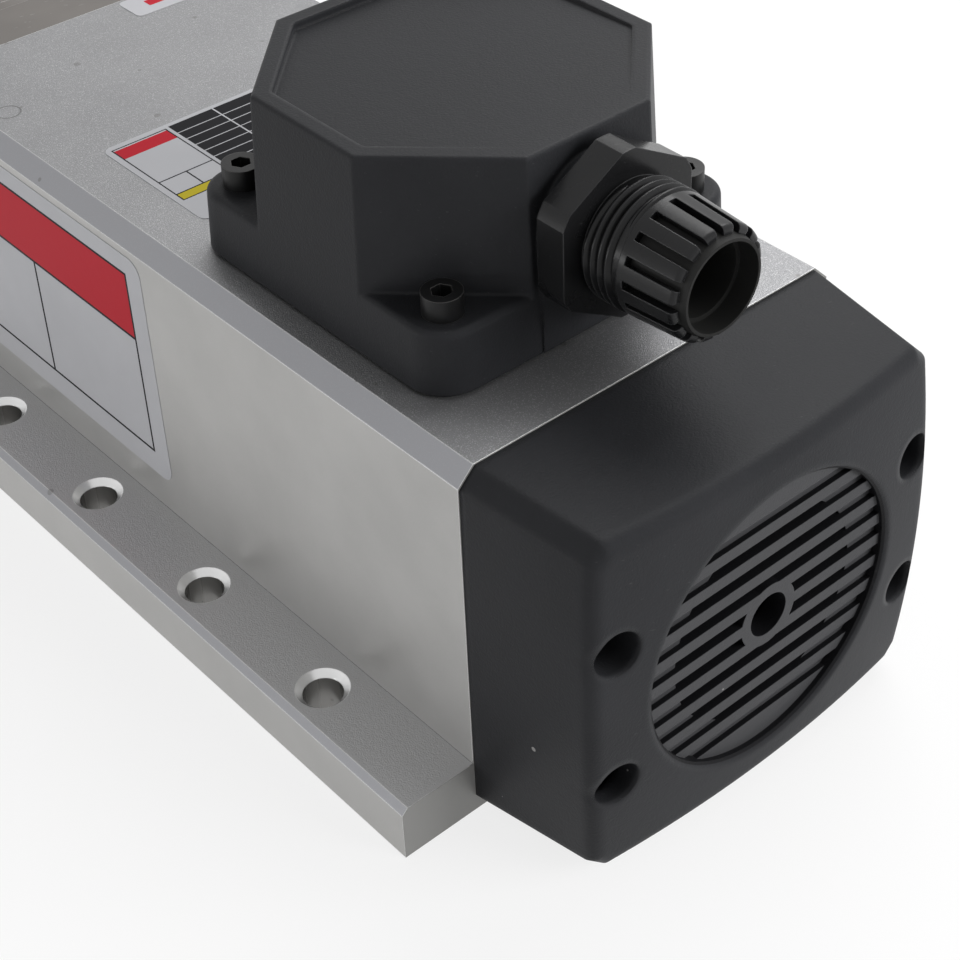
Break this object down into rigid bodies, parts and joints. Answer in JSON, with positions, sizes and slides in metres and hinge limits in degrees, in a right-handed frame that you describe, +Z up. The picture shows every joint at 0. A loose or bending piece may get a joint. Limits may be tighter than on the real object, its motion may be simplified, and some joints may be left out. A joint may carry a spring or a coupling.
{
  "type": "motor spindle",
  "caption": "Square air-cooled motor spindle with foot flanges, a collet nose, a top terminal hood with cable gland and a crowned fan cover with a slotted grille.",
  "frame": {"origin": "on the mounting face, in the middle of the pattern of foot holes", "axes": "+Y along the spindle from the collet nose to the fan cover, +Z up out of the mounting face, +X across"},
  "size_m": [0.141, 0.3324, 0.137],
  "materials": {
    "body_aluminium": "bead-blasted, satin, clear anodised",
    "ground_steel": "ground and oiled",
    "bearing_steel": "polished",
    "shaft_steel": "ground",
    "nut_steel": "turned",
    "cage_brass": "machined",
    "lamination_steel": "varnished laminations",
    "winding_copper": "enamelled wire",
    "cast_aluminium": "as cast",
    "black_oxide": "black oxide",
    "fan_nylon": "moulded",
    "black_moulding": "fine moulded texture",
    "seal_rubber": "smooth",
    "board_phenolic": "moulded",
    "stud_brass": "plated",
    "lead_silicone": "sleeved",
    "gland_nylon": "smooth nylon"
  },
  "bodies": {
    "housing": {"motor_housing": "body_aluminium", "front_bearing_housing": "ground_steel", "front_housing_screws": "black_oxide", "front_cap": "ground_steel", "front_cap_screws": "black_oxide", "front_bearing_outer_ring": "bearing_steel", "stator_core": "lamination_steel", "stator_windings": "winding_copper", "rear_bearing_housing": "cast_aluminium", "rear_housing_screws": "black_oxide", "rear_bearing_outer_ring": "bearing_steel", "preload_spring": "bearing_steel", "fan_cover": "black_moulding", "fan_cover_screws": "black_oxide", "terminal_hood": "black_moulding", "terminal_gasket": "seal_rubber", "terminal_hood_screws": "black_oxide", "terminal_board": "board_phenolic", "terminal_studs": "stud_brass", "motor_leads": "lead_silicone", "lead_grommet": "seal_rubber", "earth_screw": "stud_brass", "gland_body": "gland_nylon", "gland_washer": "seal_rubber", "gland_claw": "gland_nylon", "gland_seal": "seal_rubber"},
    "spindle": {"spindle_shaft": "shaft_steel", "labyrinth_nut": "shaft_steel", "front_bearing_inner_ring": "bearing_steel", "rear_bearing_inner_ring": "bearing_steel", "rotor_core": "lamination_steel", "rotor_end_rings": "cast_aluminium", "rear_circlip": "black_oxide", "cooling_fan": "fan_nylon", "fan_screw": "black_oxide"},
    "front_balls": {"front_bearing_cage": "cage_brass", "front_bearing_balls": "bearing_steel"},
    "rear_balls": {"rear_bearing_cage": "cage_brass", "rear_bearing_balls": "bearing_steel"},
    "collet": {"collet": "shaft_steel"},
    "nut": {"collet_nut": "nut_steel"}
  },
  "joints": [
    {"name": "spindle_spin", "type": "hinge", "parent": "housing", "child": "spindle", "pos_m": [0, 0, 0.046], "axis": [0, 1, 0], "continuous": true},
    {"name": "front_cage_spin", "type": "hinge", "parent": "housing", "child": "front_balls", "pos_m": [0, -0.1375, 0.046], "axis": [0, 1, 0], "continuous": true},
    {"name": "rear_cage_spin", "type": "hinge", "parent": "housing", "child": "rear_balls", "pos_m": [0, 0.099, 0.046], "axis": [0, 1, 0], "continuous": true},
    {"name": "collet_slide", "type": "slide", "parent": "spindle", "child": "collet", "axis": [0, -1, 0], "range_m": [0, 0.00301]},
    {"name": "nut_turn", "type": "hinge", "parent": "collet", "child": "nut", "pos_m": [0, -0.19022, 0.046], "axis": [0, -1, 0], "range_deg": [0, 720]}
  ],
  "couplings": [
    {"joint": "front_cage_spin", "follows": "spindle_spin", "ratio": 0.4167},
    {"joint": "rear_cage_spin", "follows": "spindle_spin", "ratio": 0.4077},
    {"joint": "collet_slide", "follows": "nut_turn", "m_per_rad": 0.00023873}
  ]
}
